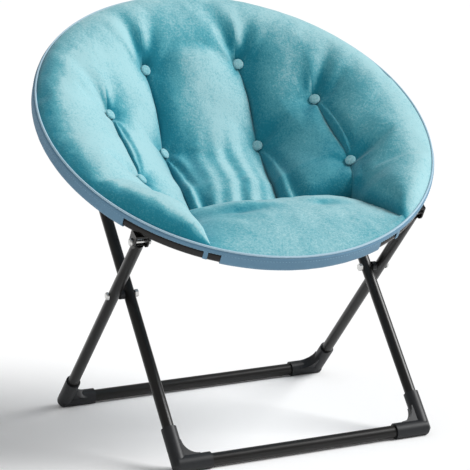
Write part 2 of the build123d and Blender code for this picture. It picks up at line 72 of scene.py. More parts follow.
def linked(name, data):
    item = bpy.data.objects.new(name, data)
    bpy.context.collection.objects.link(item)
    return item


def newPiece(name, verts, faces):
    mesh = bpy.data.meshes.new(name)
    mesh.from_pydata([tuple(p) for p in verts], [], faces)
    return linked(name, mesh)


def addPiece(name, verts, faces, material):
    piece = newPiece(name, verts, faces)
    shapeUp(piece, meshing["sharpTrim"])
    piece.data.materials.append(material)
    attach(piece, "seat")
    return piece


# Faces of a strip made of rings of points, closed into a hoop or with its two ends capped if asked.
def ringFaces(first, rings, around, closed=False, capped=False):
    faces = []
    for i in range(rings if closed else rings - 1):
        onward = ((i + 1) % rings - i) * around
        for j in range(around):
            a, b = first + i * around + j, first + i * around + (j + 1) % around
            faces.append((a, b, b + onward, a + onward))
    if capped:
        faces.append(tuple(first + j for j in range(around)))
        faces.append(tuple(first + (rings - 1) * around + j for j in reversed(range(around))))
    return faces


def shapeUp(piece, sharpDeg):
    work = bmesh.new()
    work.from_mesh(piece.data)
    bmesh.ops.remove_doubles(work, verts=work.verts, dist=meshing["weld"])
    bmesh.ops.recalc_face_normals(work, faces=work.faces)
    limit = math.radians(sharpDeg)
    for face in work.faces:
        face.smooth = True
    for edge in work.edges:
        if len(edge.link_faces) == 2 and edge.calc_face_angle(0) > limit:
            edge.smooth = False
    work.to_mesh(piece.data)
    work.free()


# Shared shader effects.
def setInputs(node, values):
    for label, value in values.items():
        node.inputs[label].default_value = (*value, 1.0) if isinstance(value, tuple) else value


def newGroup(name, inputs, outputs):
    group = bpy.data.node_groups.new(name, "ShaderNodeTree")
    for label, kind, value in inputs:
        socket = group.interface.new_socket(label, in_out="INPUT", socket_type=kind)
        socket.default_value = value
    for label, kind in outputs:
        group.interface.new_socket(label, in_out="OUTPUT", socket_type=kind)
    return group, group.nodes.new("NodeGroupInput"), group.nodes.new("NodeGroupOutput")


def mathNode(tree, operation, first, second):
    node = tree.nodes.new("ShaderNodeMath")
    node.operation = operation
    for socket, value in zip(node.inputs, (first, second)):
        if isinstance(value, (int, float)):
            socket.default_value = value
        else:
            tree.links.new(value, socket)
    return node.outputs[0]


# A weighted sum of two values.
def weighted(tree, first, share, second, otherShare):
    return mathNode(tree, "ADD", mathNode(tree, "MULTIPLY", first, share),
                    mathNode(tree, "MULTIPLY", second, otherShare))


# A value plus how far another lies from its middle.
def swayed(tree, value, other, amount):
    shift = mathNode(tree, "SUBTRACT", other, 0.5)
    return mathNode(tree, "ADD", value, mathNode(tree, "MULTIPLY", shift, amount))


def mixColor(tree, share, first, second):
    node = tree.nodes.new("ShaderNodeMix")
    node.data_type = "RGBA"
    for place, value in ((0, share), (6, first), (7, second)):
        tree.links.new(value, node.inputs[place])
    return node.outputs[2]


def noiseNode(tree, coords, scale, detail, rough):
    node = tree.nodes.new("ShaderNodeTexNoise")
    tree.links.new(coords, node.inputs["Vector"])
    if isinstance(scale, (int, float)):
        node.inputs["Scale"].default_value = scale
    else:
        tree.links.new(scale, node.inputs["Scale"])
    setInputs(node, {"Detail": detail, "Roughness": rough})
    return node.outputs["Fac"]


def spread(tree, value, low, high):
    node = tree.nodes.new("ShaderNodeMapRange")
    tree.links.new(value, node.inputs["Value"])
    setInputs(node, {"From Min": low, "From Max": high})
    return node.outputs["Result"]


# Woven cloth: crossing yarns from two wave textures, with slubs.
def makeWeaveGroup():
    group, put, out = newGroup(
        "clothWeave",
        [("Yarns per metre", "NodeSocketFloat", 900.0), ("Color", "NodeSocketColor", (0.5, 0.5, 0.5, 1)),
         ("Shade", "NodeSocketColor", (0.3, 0.3, 0.3, 1))],
        [("Color", "NodeSocketColor"), ("Height", "NodeSocketFloat")],
    )
    coords = group.nodes.new("ShaderNodeTexCoord").outputs["Object"]
    rows = []
    for direction in ("X", "Y", "Z"):
        wave = group.nodes.new("ShaderNodeTexWave")
        wave.bands_direction = direction
        setInputs(wave, {"Distortion": 0.6, "Detail": 1.0})
        group.links.new(coords, wave.inputs["Vector"])
        scale = mathNode(group, "MULTIPLY", put.outputs["Yarns per metre"], 0.314)
        group.links.new(scale, wave.inputs["Scale"])
        rows.append(wave.outputs["Fac"])
    allRows = mathNode(group, "ADD", rows[0], mathNode(group, "ADD", rows[1], rows[2]))
    yarns = mathNode(group, "MULTIPLY", allRows, 0.333)
    slubs = noiseNode(group, coords, 240.0, 4.0, 0.6)
    patches = spread(group, noiseNode(group, coords, 9.0, 3.0, 0.5), 0.3, 0.7)
    share = weighted(group, weighted(group, yarns, 0.5, slubs, 0.5), 0.75, patches, 0.25)
    color = mixColor(group, share, put.outputs["Shade"], put.outputs["Color"])
    group.links.new(color, out.inputs["Color"])
    group.links.new(mathNode(group, "ADD", yarns, slubs), out.inputs["Height"])
    return group


# Plush nap: fine fibres and brushed patches over painted light and shade, mixed from a shaded root colour
# through the middle to a lit crown colour.
def makeNapGroup():
    group, put, out = newGroup(
        "plushNap",
        [("Crown and painted light", "NodeSocketColor", (0.3, 0.6, 0.6, 1)), ("Middle", "NodeSocketColor", (0.2, 0.5, 0.5, 1)),
         ("Root and painted shade", "NodeSocketColor", (0.05, 0.3, 0.3, 1)), ("Lit share", "NodeSocketFloat", 0.6)],
        [("Color", "NodeSocketColor"), ("Height", "NodeSocketFloat")],
    )
    coords = group.nodes.new("ShaderNodeTexCoord").outputs["Object"]
    fibres = noiseNode(group, coords, 380.0, 3.0, 0.65)
    tufts = noiseNode(group, coords, 210.0, 2.0, 0.6)
    brushed = noiseNode(group, coords, 16.0, 4.0, 0.55)
    fine = weighted(group, fibres, 0.5, tufts, 0.5)
    speckle = spread(group, fine, 0.36, 0.64)
    sweep = spread(group, brushed, 0.34, 0.66)
    # Painted light and shade: the lit share, swayed by the fibres and patches, picks the colour.
    level = swayed(group, swayed(group, put.outputs["Lit share"], speckle, 0.40), sweep, 0.16)
    double = mathNode(group, "MULTIPLY", level, 2.0)
    low = mixColor(group, double, put.outputs["Root and painted shade"], put.outputs["Middle"])
    color = mixColor(group, mathNode(group, "SUBTRACT", double, 1.0), low, put.outputs["Crown and painted light"])
    group.links.new(color, out.inputs["Color"])
    group.links.new(fine, out.inputs["Height"])
    return group


# Painted and moulded surfaces: faint mottling, fine grain and a little rubbed wear.
def makeGrainGroup():
    group, put, out = newGroup(
        "surfaceGrain",
        [("Color", "NodeSocketColor", (0.02, 0.02, 0.02, 1)),
         ("Rubbed", "NodeSocketColor", (0.05, 0.05, 0.05, 1)),
         ("Roughness", "NodeSocketFloat", 0.3), ("Spread", "NodeSocketFloat", 0.15),
         ("Grain scale", "NodeSocketFloat", 900.0)],
        [("Color", "NodeSocketColor"), ("Roughness", "NodeSocketFloat"), ("Height", "NodeSocketFloat")],
    )
    coords = group.nodes.new("ShaderNodeTexCoord").outputs["Object"]
    grain = noiseNode(group, coords, put.outputs["Grain scale"], 3.0, 0.6)
    mottle = noiseNode(group, coords, 26.0, 4.0, 0.6)
    rubs = spread(group, noiseNode(group, coords, 60.0, 6.0, 0.7), 0.58, 0.8)
    worn = mathNode(group, "MULTIPLY", rubs, 0.6)
    color = mixColor(group, worn, put.outputs["Color"], put.outputs["Rubbed"])
    rough = swayed(group, put.outputs["Roughness"], mottle, put.outputs["Spread"])
    group.links.new(color, out.inputs["Color"])
    group.links.new(rough, out.inputs["Roughness"])
    group.links.new(grain, out.inputs["Height"])
    return group


weaveGroup = makeWeaveGroup()
napGroup = makeNapGroup()
grainGroup = makeGrainGroup()
print("shader groups ready")


def newMaterial(name, group, values):
    material = bpy.data.materials.new(name)
    material.use_nodes = True
    tree = material.node_tree
    shader = tree.nodes["Principled BSDF"]
    effect = tree.nodes.new("ShaderNodeGroup")
    effect.node_tree = group
    setInputs(effect, values)
    tree.links.new(effect.outputs["Color"], shader.inputs["Base Color"])
    return material, tree, shader, effect


def addBump(tree, shader, height, strength, distance):
    bump = tree.nodes.new("ShaderNodeBump")
    setInputs(bump, {"Strength": strength, "Distance": distance})
    tree.links.new(height, bump.inputs["Height"])
    tree.links.new(bump.outputs["Normal"], shader.inputs["Normal"])


# Lit and shaded copies of the teal: crown is its painted-light colour, root its painted-shade colour.
plushLook = {
    "crown": (0.315, 0.545, 0.585), "middle": (0.085, 0.345, 0.41), "rootAndPaintedShade": (0.012, 0.205, 0.28),
    "sheen": 0.45, "sheenTint": (0.80, 0.97, 1.0), "sheenRoughness": 0.45, "shine": 0.15, "buttonRaised": 0.8,
    "roughness": 0.95, "bump": 0.6, "bumpDepth": 0.0016,
}


def makePlush(name, readShare):
    material, tree, shader, fur = newMaterial(name, napGroup, {
        "Crown and painted light": plushLook["crown"], "Middle": plushLook["middle"], "Root and painted shade": plushLook["rootAndPaintedShade"]})
    # The share of painted light and shade comes from the pads' point attribute.
    if readShare:
        share = tree.nodes.new("ShaderNodeAttribute")
        share.attribute_name = "litShare"
        tree.links.new(share.outputs["Fac"], fur.inputs["Lit share"])
    else:
        setInputs(fur, {"Lit share": plushLook["buttonRaised"]})
    setInputs(shader, {"Roughness": plushLook["roughness"], "Specular IOR Level": plushLook["shine"],
                       "Sheen Weight": plushLook["sheen"], "Sheen Roughness": plushLook["sheenRoughness"],
                       "Sheen Tint": plushLook["sheenTint"]})
    addBump(tree, shader, fur.outputs["Height"], plushLook["bump"], plushLook["bumpDepth"])
    return material


clothLooks = {
    "bandCloth": {"color": (0.155, 0.295, 0.42), "shade": (0.085, 0.185, 0.275), "yarns": 1100.0,
                  "bump": 0.35},
    "pipingCloth": {"color": (0.46, 0.62, 0.72), "shade": (0.28, 0.44, 0.54), "yarns": 1500.0, "bump": 0.3},
    "slingCloth": {"color": (0.46, 0.54, 0.60), "shade": (0.30, 0.37, 0.43), "yarns": 700.0, "bump": 0.4},
    "threadCloth": {"color": (0.30, 0.50, 0.62), "shade": (0.18, 0.34, 0.44), "yarns": 2400.0, "bump": 0.2},
}
clothSurface = {"Roughness": 0.85, "Specular IOR Level": 0.25, "Sheen Weight": 0.15, "Sheen Roughness": 0.5}
bumpDepth = {"cloth": 0.0005, "hard": 0.0004}


def makeCloth(name):
    look = clothLooks[name]
    material, tree, shader, weave = newMaterial(
        name, weaveGroup, {"Yarns per metre": look["yarns"], "Color": look["color"], "Shade": look["shade"]})
    setInputs(shader, clothSurface)
    addBump(tree, shader, weave.outputs["Height"], look["bump"], bumpDepth["cloth"])
    return material


hardLooks = {
    "blackPaint": {"color": (0.006, 0.0055, 0.005), "rubbed": (0.014, 0.012, 0.011), "roughness": 0.33,
                   "spread": 0.14, "grain": 700.0, "bump": 0.05, "metallic": 0.0, "coat": 0.1, "shine": 0.3},
    "blackPlastic": {"color": (0.011, 0.012, 0.014), "rubbed": (0.024, 0.025, 0.028), "roughness": 0.46,
                     "spread": 0.18, "grain": 1600.0, "bump": 0.16, "metallic": 0.0, "coat": 0.0,
                     "shine": 0.35},
    "brightSteel": {"color": (0.62, 0.62, 0.61), "rubbed": (0.78, 0.78, 0.77), "roughness": 0.28,
                    "spread": 0.2, "grain": 1200.0, "bump": 0.06, "metallic": 1.0, "coat": 0.0, "shine": 0.5},
}


def makeHard(name):
    look = hardLooks[name]
    material, tree, shader, grain = newMaterial(name, grainGroup, {
        "Color": look["color"], "Rubbed": look["rubbed"], "Roughness": look["roughness"],
        "Spread": look["spread"], "Grain scale": look["grain"]})
    tree.links.new(grain.outputs["Roughness"], shader.inputs["Roughness"])
    setInputs(shader, {"Metallic": look["metallic"], "Specular IOR Level": look["shine"],
                       "Coat Weight": look["coat"], "Coat Roughness": 0.12})
    addBump(tree, shader, grain.outputs["Height"], look["bump"], bumpDepth["hard"])
    return material


plush = makePlush("tealPlush", True)
buttonPlush = makePlush("buttonPlush", False)
cloths = {name: makeCloth(name) for name in clothLooks}
hards = {name: makeHard(name) for name in hardLooks}


# CAD pieces that keep their shape get their finish here.
def dressSolids():
    slots = {"black_steel": "blackPaint", "bright_steel": "brightSteel", "black_plastic": "blackPlastic"}
    for entry in frame["record"]["subparts"]:
        if entry["material_slot"] in slots:
            mesh = nodes[entry["node"]].data
            mesh.materials.clear()
            mesh.materials.append(hards[slots[entry["material_slot"]]])


dressSolids()
print("solids dressed")

# Cushion: sizes in millimetres on the flat seat.
cushion = {
    "edgeRadius": 388.5, "rollStart": 300.0, "edgeHeight": 5.0, "valleyRadius": 378.0, "valleyDepth": 168.0,
    "steepness": 2.7, "valleyFront": -60.0, "innerChannel": 102.0, "outerChannel": 222.0, "creaseV": -158.0,
    "backPuff": 31.0, "lowBackPuff": 25.0, "sidePuff": 38.0, "nosePuff": 10.0, "noseShift": 30.0, "gap": 0.05,
    "noseStart": 162.0, "noseFade": 60.0, "noseV": -225.0, "noseLength": 62.0, "taperWidth": 62.0,
    "taperLeast": 0.12,
    "frontSlope": 0.42, "frontStart": -320.0, "pillowRound": 2.5, "pillowFull": 0.56, "tuftRing": 240.0,
    "lowTuftV": 61.0, "fill": 0.92, "creaseFloor": -132.0, "creaseRoll": 46.0, "wrapStart": 364.0,
    "wrapEnd": 378.0, "wrapHeight": 3.0, "bowUpper": 6.0, "leanLeft": -14.0, "leanRight": -30.0,
}
# Painted shade and light: slopes that face left, away from the light, are deeper and those facing it lighter,
# more so on the left roll up to where that extra fades.
paintedShade = {"lean": 0.95, "leanLeft": 2.3, "fadeTop": 290.0, "fade": 120.0, "litShare": 0.9, "underside": 0.3}
# Seams beside the seat: v, half-width. Seat: v, height in the middle, height at the sides.
seamKnots = [(-412.0, 225.0), (-260.0, 212.0), (-200.0, 200.0), (-150.0, 203.0), (-91.0, 222.0),
             (412.0, 222.0)]
seatForm = [(-412.0, 4.0, 4.0), (-345.0, 6.0, 4.0), (-318.0, 4.0, -2.0), (-290.0, 0.0, -14.0),
            (-230.0, -17.0, -43.0), (-190.0, -36.0, -68.0), (-172.0, -54.0, -86.0), (-158.0, -112.0, -120.0)]
tuftPull = {"reach": 50.0, "share": 0.68, "sink": 6.5, "sinkReach": 18.0, "wrinkle": 1.3,
            "wrinkleReach": 40.0, "wrinkleStart": 16.0, "shadeRing": 12.0, "shadeWidth": 4.5, "shade": 0.7}
# Hollows and swellings along the seat's rear edge: x, v, rise, half-length across, half-length along.
seatSwells = [(-72.0, -232.0, -11.0, 52.0, 19.0), (92.0, -236.0, -7.0, 34.0, 16.0),
              (-190.0, -214.0, -8.0, 30.0, 26.0), (-58.0, -196.0, 5.0, 56.0, 20.0),
              (74.0, -200.0, 3.0, 40.0, 18.0)]
# Pinched folds beside a seam: seam x, rear v, front v, width, height.
pinches = [(-102.0, 52.0, -158.0, 26.0, 6.5), (102.0, 52.0, -158.0, 28.0, 7.0),
           (-222.0, 80.0, -80.0, 13.0, 4.0), (222.0, 84.0, -84.0, 14.0, 4.4)]
pinchForm = {"leastSwell": 0.3, "rollEnd": 0.95, "grooveAt": 1.1, "grooveWidth": 0.45, "grooveDepth": 1.1}
# Creases that fan out from a tuft: tuft x, tuft v, heading from the rear in degrees, reach, depth.
fans = [(-102.0, 217.2, 20.0, 95.0, 11.0), (-102.0, 217.2, -24.0, 60.0, 9.0),
        (102.0, 217.2, 24.0, 95.0, 11.0), (102.0, 217.2, -28.0, 60.0, 9.0), (102.0, 217.2, -2.0, 45.0, 3.0),
        (222.0, 91.2, -30.0, 85.0, 10.0), (222.0, -91.2, -78.0, 62.0, 8.0),
        (-222.0, 91.2, 30.0, 85.0, 8.0), (-222.0, -91.2, 78.0, 62.0, 8.0),
        (102.0, 61.0, -75.0, 55.0, 6.0), (-102.0, 61.0, 75.0, 45.0, 5.0)]
fanForm = {"width": 7.0, "widening": 0.10, "bank": 0.35, "bankAway": 2.1, "start": 18.0}

highTuft = math.sqrt(cushion["tuftRing"] ** 2 - cushion["innerChannel"] ** 2)
wideTuft = math.sqrt(cushion["tuftRing"] ** 2 - cushion["outerChannel"] ** 2)
tuftSpots = [(side * x, v) for side in (1, -1) for x, v in (
    (cushion["innerChannel"], highTuft), (cushion["outerChannel"], wideTuft),
    (cushion["outerChannel"], -wideTuft), (cushion["innerChannel"], cushion["lowTuftV"]))]

# Sling dish: radius and depth pairs, and the deeper front under the seat panel.
dish = {"edge": (369.0, -20.0), "brim": (305.0, -44.0), "wall": (225.0, -120.0), "depth": -192.0}
frontDish = {"edge": (369.0, -20.0), "lip": (352.0, -44.0), "floor": (290.0, -88.0), "depth": -192.0,
             "blend": 34.0}


def floorDepth(r, corner, depth):
    rise = corner[1] - depth
    ball = (corner[0] ** 2 + rise ** 2) / (2 * rise)
    return depth + ball - np.sqrt(np.maximum(ball ** 2 - r ** 2, 0))


# The ball-shaped floor inside the first corner, then straight lines from corner to corner.
def bowlDepth(r, form, names):
    corners = [form[k] for k in names]
    rim = np.interp(r, [c[0] for c in corners], [c[1] for c in corners])
    return np.where(r < corners[0][0], floorDepth(r, corners[0], form["depth"]), rim)


def dishDepth(r):
    return bowlDepth(r, dish, ("wall", "brim", "edge"))


def frontDepth(r):
    return bowlDepth(r, frontDish, ("floor", "lip", "edge"))


def easeIn(value):
    t = np.clip(value, 0, 1)
    return t * t * (3 - 2 * t)


# A rounded hump of height 1.
def hump(off, width):
    return np.exp(-(off / width) ** 2)


# How far the cushion reaches at a distance from its middle line.
def toEdge(across):
    return np.sqrt(cushion["edgeRadius"] ** 2 - across ** 2)


def seamX(v):
    return np.interp(v, [k[0] for k in seamKnots], [k[1] for k in seamKnots])


# The left roll leans over the seat in front, so its seam is seen further in there.
def leanedSeamX(x, v):
    share = easeIn((-v - cushion["noseStart"]) / cushion["noseFade"])
    return seamX(v) - cushion["noseShift"] * share * (x < 0)


# The channels bow to the right between their tufts, and lean to the left below the lower ones.
def channelX(x, v):
    low, high = cushion["lowTuftV"], highTuft
    bow = np.sin(np.pi * np.clip((v - low) / (high - low), 0, 1))
    lean = np.where(x < 0, cushion["leanLeft"], cushion["leanRight"])
    return cushion["bowUpper"] * bow + lean * easeIn((low - v) / (low - cushion["creaseV"]))


def slingDepth(x, v):
    r = np.hypot(x, v)
    inside = np.minimum(seamX(v) - np.abs(x), cushion["creaseV"] - v)
    lower = np.minimum(frontDepth(r), dishDepth(r))
    return dishDepth(r) + (lower - dishDepth(r)) * easeIn(inside / frontDish["blend"])


def smoothTable(v, table, column):
    keys = np.array([row[0] for row in table])
    values = np.array([row[column] for row in table])
    slopes = np.gradient(values, keys)
    place = np.clip(np.searchsorted(keys, v) - 1, 0, len(keys) - 2)
    span = keys[place + 1] - keys[place]
    t = np.clip((v - keys[place]) / span, 0, 1)
    a, b = 2 * t ** 3 - 3 * t ** 2 + 1, t ** 3 - 2 * t ** 2 + t
    c, d = -2 * t ** 3 + 3 * t ** 2, t ** 3 - t ** 2
    return a * values[place] + b * span * slopes[place] + c * values[place + 1] + d * span * slopes[place + 1]


def valley(x, v):
    share = np.minimum(np.hypot(x, np.maximum(v, cushion["valleyFront"])) / cushion["valleyRadius"], 1)
    return -cushion["valleyDepth"] * (1 - share ** 2) ** cushion["steepness"]


# How far a seam is drawn down: 1 where it is sewn deep, 0 where the panels run on smoothly.
sewing = {"innerFade": 40.0, "between": 0.8, "rearReach": 14.0, "frontReach": 40.0, "reachFade": 50.0,
          "rearHold": 24.0, "frontHold": 42.0, "frontStart": 140.0, "frontFade": 20.0}


def innerCrease(v):
    return 1 - easeIn((v - highTuft) / sewing["innerFade"])


def outerCrease(v):
    reach = np.where(v > 0, sewing["rearReach"], sewing["frontReach"])
    between = sewing["between"] * easeIn((wideTuft + reach - np.abs(v)) / sewing["reachFade"])
    held = np.maximum(hump(v - wideTuft, sewing["rearHold"]), hump(v + wideTuft, sewing["frontHold"]))
    front = easeIn((-v - sewing["frontStart"]) / sewing["frontFade"])
    return np.maximum(np.maximum(between, held), front)


def pillow(t):
    return np.maximum(1 - np.abs(2 * t - 1) ** cushion["pillowRound"], 0) ** cushion["pillowFull"]


def outerSeam(x, v):
    climb = cushion["frontSlope"] * (cushion["frontStart"] - v)
    low = valley(x, v)
    return np.where(v < cushion["creaseV"], np.maximum(low, climb), low)


def tuftHold(x, v):
    hold = np.zeros_like(x)
    for tx, tv in tuftSpots:
        hold = np.maximum(hold, hump(np.hypot(x - tx, v - tv), tuftPull["reach"]))
    return hold


# The nap lies in shadow in a ring round each button.
def tuftShade(x, v):
    shade = np.ones_like(x)
    for tx, tv in tuftSpots:
        off = np.hypot(x - tx, v - tv) - tuftPull["shadeRing"]
        shade = np.minimum(shade, 1 - tuftPull["shade"] * hump(off, tuftPull["shadeWidth"]))
    return shade


# Small shapes that a sewn and filled cover takes: sunk tufts, puckers, fanned creases and pinched folds.
def coverDetail(x, v):
    extra = np.zeros_like(x)
    for spot, (tx, tv) in enumerate(tuftSpots):
        away = np.hypot(x - tx, v - tv)
        turn = np.arctan2(v - tv, x - tx)
        extra -= tuftPull["sink"] * hump(away, tuftPull["sinkReach"])
        ripple = np.cos(7 * turn + 1.7 * spot) + 0.6 * np.cos(4 * turn + 2.3 * spot)
        near = np.exp(-away / tuftPull["wrinkleReach"]) * (1 - hump(away, tuftPull["wrinkleStart"]))
        extra += tuftPull["wrinkle"] * ripple * near
    for tx, tv, heading, reach, deep in fans:
        angle = math.radians(heading)
        along = -(x - tx) * math.sin(angle) + (v - tv) * math.cos(angle)
        across = (x - tx) * math.cos(angle) + (v - tv) * math.sin(angle)
        width = fanForm["width"] + fanForm["widening"] * np.maximum(along, 0)
        bank = fanForm["bank"] * hump(np.abs(across) - fanForm["bankAway"] * width, width)
        lane = hump(across, width) - bank
        extra -= deep * lane * easeIn(along / fanForm["start"]) * hump(np.maximum(along, 0), reach)
    for seam, rear, front, width, height in pinches:
        share = np.clip((v - front) / (rear - front), 0, 1)
        if abs(seam) > cushion["innerChannel"]:
            swell = np.sqrt(4 * share * (1 - share))
            start = math.copysign(1.0, seam) * seamX(v)
        else:
            swell = np.sqrt(1 - share ** 2) * (share < 1)
            start = seam + channelX(seam, v)
        s = (x - start) / (width * np.maximum(swell, pinchForm["leastSwell"]))
        roll = np.sin(np.pi * np.clip(s / pinchForm["rollEnd"], 0, 1)) ** 1.2
        groove = hump(s - pinchForm["grooveAt"], pinchForm["grooveWidth"]) * (s > 0)
        extra += height * swell * (roll - pinchForm["grooveDepth"] * groove) * (v <= rear) * (v >= front)
    return extra


def unevenness(x, v, size, seed):
    flat = [noise.noise(Vector((a / size, b / size, seed))) for a, b in zip(x.ravel(), v.ravel())]
    return np.array(flat).reshape(x.shape)


def roundEdge(x, v, n):
    r = np.hypot(x, v)
    out = np.clip((r - cushion["rollStart"]) / (cushion["edgeRadius"] - cushion["rollStart"]), 0, 1)
    return cushion["edgeHeight"] + (n - cushion["edgeHeight"]) * np.sqrt(1 - out ** 2.1)


def backPuff(v):
    rise = easeIn((v - 20) / 60)
    return cushion["lowBackPuff"] + (cushion["backPuff"] - cushion["lowBackPuff"]) * rise


# The cover where no seam draws it down.
def openCover(x, v):
    return valley(x, v) + cushion["fill"] * backPuff(v) * (1 - tuftPull["share"] * tuftHold(x, v))


# Slanting folds low in the back. Waves: height, length, start.
lowFolds = {"slant": 0.2, "sway": 6.0, "swayLength": 37.0, "waves": ((1.0, 39.0, 0.9), (0.7, 67.0, 2.0)),
            "height": 2.1, "top": 140.0, "fade": 170.0}


def lowFold(x, v):
    sway = x - lowFolds["slant"] * v + lowFolds["sway"] * np.sin(v / lowFolds["swayLength"])
    folds = sum(high * np.cos(2 * math.pi * sway / long + start) for high, long, start in lowFolds["waves"])
    return lowFolds["height"] * folds * easeIn((lowFolds["top"] - v) / lowFolds["fade"])


def backHeight(x, v):
    inner = cushion["innerChannel"]
    left, right = channelX(-1, v) - inner, channelX(1, v) + inner
    outer = seamX(v)
    puff = backPuff(v) * (1 - tuftPull["share"] * tuftHold(x, v))
    deepInner, deepOuter = valley(inner, v), outerSeam(outer, v)
    centre = (x > left) & (x < right)
    beyond = np.where(x < 0, (left - x) / (outer + left), (x - right) / (outer - right))
    t = np.clip(np.where(centre, (x - left) / (right - left), beyond), 0, 1)
    deep = np.where(centre, deepInner, deepInner + (deepOuter - deepInner) * t)
    sewn = np.where(centre, innerCrease(v), innerCrease(v) + (outerCrease(v) - innerCrease(v)) * easeIn(t))
    crown = sewn * (deep + puff * pillow(t)) + (1 - sewn) * openCover(x, v)
    n = crown + coverDetail(x, v) + lowFold(x, v) * centre * pillow(t)
    # Painted shade: the lit share is lowest down in the channels and seams and near the seat crease, with the
    # painted shadow ring round the buttons.
    litShare = np.clip((n - deep) / cushion["backPuff"], 0, 1) * tuftShade(x, v)
    bottom = np.maximum(cushion["creaseFloor"], slingDepth(x, v) + 8)
    near = np.clip((v - cushion["creaseV"]) / cushion["creaseRoll"], 0, 1)
    return bottom + (n - bottom) * np.sqrt(1 - (1 - near) ** 2.2), litShare * (0.25 + 0.75 * easeIn(near))


def sideHeight(x, v):
    start = leanedSeamX(x, v)
    end = np.sqrt(np.maximum(cushion["edgeRadius"] ** 2 - v ** 2, 1))
    t = np.clip((np.abs(x) - start) / np.maximum(end - start, 1), 0, 1)
    deep = outerSeam(seamX(v), v)
    nose = cushion["nosePuff"] * hump(v - cushion["noseV"], cushion["noseLength"])
    taper = np.clip((end - start) / cushion["taperWidth"], cushion["taperLeast"], 1)
    puff = (cushion["sidePuff"] * (1 - tuftPull["share"] * tuftHold(x, v)) + nose) * taper
    sewn = outerCrease(v) * (1 - 0.5 * easeIn(t) * (v > cushion["creaseV"]))
    crown = sewn * (deep * (1 - t) + 4 * t + puff * pillow(t)) + (1 - sewn) * openCover(x, v)
    n = crown + coverDetail(x, v)
    # Painted shade: the lit share is lowest at the seam and rises towards the rim.
    litShare = np.clip((n - deep * (1 - t)) / cushion["backPuff"] + 0.25 * t, 0, 1)
    return n, litShare * tuftShade(x, v)


def seatHeight(x, v):
    s = np.clip(np.abs(x) / leanedSeamX(x, v), 0, 1)
    middle, side = smoothTable(v, seatForm, 1), smoothTable(v, seatForm, 2)
    cross = (1 - s ** 2.8) ** 0.55
    n = side + (middle - side) * cross
    # Painted shade on the seat: darker at the crease with the back and towards the sides, and in each hollow,
    # shifted to its rear.
    shade = np.zeros_like(x)
    for dx, dv, rise, half, length in seatSwells:
        n = n + rise * np.exp(-(((x - dx) / half) ** 2 + ((v - dv) / length) ** 2))
        shade = shade + rise * np.exp(-(((x - dx) / half) ** 2 + ((v - dv - 8) / length) ** 2)) / 18
    rear = easeIn((cushion["creaseV"] - v) / 30)
    return n, np.clip(0.12 + 0.74 * rear * (0.35 + 0.65 * cross) + np.minimum(shade, 0), 0, 1)


# The underside lies on the sling, then passes over the rim tube to the band's top.
def padFloor(x, v):
    low = slingDepth(x, v) + 1.2
    over = easeIn((np.hypot(x, v) - cushion["wrapStart"]) / (cushion["wrapEnd"] - cushion["wrapStart"]))
    return low + (cushion["wrapHeight"] - low) * over


# The slope across the seat, used for painted shade and light: slopes facing left, away from the light, come
# out darker.
def crossSlope(x, n):
    step = np.gradient(x, axis=1)
    rise = -np.gradient(n, axis=1) / np.where(np.abs(step) < 0.05, 1e9, step)
    return rise / np.sqrt(1 + rise ** 2)


# Filling: every cover is blown up as cloth, held at its seams and tufts, on a grid coarser than the pad's.
swelling = {"every": 2, "pressure": 4.0, "frames": 20, "cap": 6.0, "quality": 5, "tension": 20.0,
            "bending": 1.0, "tuftHold": 17.0}


def coarseRows(count):
    return np.unique(np.append(np.arange(0, count, swelling["every"]), count - 1))


def closedGrid(rows, columns):
    count = rows * columns
    faces = []
    for i in range(rows - 1):
        for j in range(columns - 1):
            a, b = i * columns + j, i * columns + j + 1
            quad = (a, b, b + columns, a + columns)
            faces += [quad, tuple(count + k for k in reversed(quad))]
    grid = np.arange(count).reshape(rows, columns)
    ring = np.concatenate([grid[0], grid[1:, -1], grid[-1, -2::-1], grid[-2:0:-1, 0]]).tolist()
    for a, b in zip(ring, ring[1:] + ring[:1]):
        faces.append((a, count + a, count + b, b))
    return faces, ring


def addTrial(name, cover):
    rows, columns = coarseRows(cover["x"].shape[0]), coarseRows(cover["x"].shape[1])
    pick = np.ix_(rows, columns)
    x, v = cover["x"][pick], cover["v"][pick]
    top = seatToChair(x, v, cover["n"][pick]).reshape(-1, 3)
    bottom = seatToChair(x, v, cover["below"][pick]).reshape(-1, 3)
    faces, ring = closedGrid(len(rows), len(columns))
    trial = newPiece(name, np.vstack([top, bottom]), faces)
    work = bmesh.new()
    work.from_mesh(trial.data)
    bmesh.ops.recalc_face_normals(work, faces=work.faces)
    work.to_mesh(trial.data)
    work.free()
    held = set(ring) | set(range(len(top), 2 * len(top)))
    for tx, tv in tuftSpots:
        held |= set(np.flatnonzero(np.hypot(x - tx, v - tv).ravel() < swelling["tuftHold"]).tolist())
    trial.vertex_groups.new(name="held").add(sorted(held), 1.0, "REPLACE")
    cloth = trial.modifiers.new("swell", "CLOTH")
    fabric = cloth.settings
    fabric.quality = swelling["quality"]
    fabric.tension_stiffness = fabric.compression_stiffness = swelling["tension"]
    fabric.bending_stiffness = swelling["bending"]
    fabric.vertex_group_mass = "held"
    fabric.use_pressure = True
    fabric.uniform_pressure_force = swelling["pressure"]
    fabric.effector_weights.gravity = 0
    cloth.collision_settings.use_collision = False
    cloth.point_cache.frame_start, cloth.point_cache.frame_end = 1, swelling["frames"]
    return trial, rows, columns, top


# The cloth's movement, capped softly and spread from the coarse grid to the pad's own.
def spreadMove(move, rows, columns, shape):
    length = np.linalg.norm(move, axis=1, keepdims=True)
    cap = swelling["cap"] * mm
    move = move * cap * np.tanh(length / cap) / np.maximum(length, 1e-9)
    move = move.reshape(len(rows), len(columns), 3)
    fine = np.empty((*shape, 3))
    for axis in range(3):
        along = np.array([np.interp(np.arange(shape[1]), columns, line) for line in move[:, :, axis]])
        fine[:, :, axis] = np.array([np.interp(np.arange(shape[0]), rows, line) for line in along.T]).T
    return fine.reshape(-1, 3)


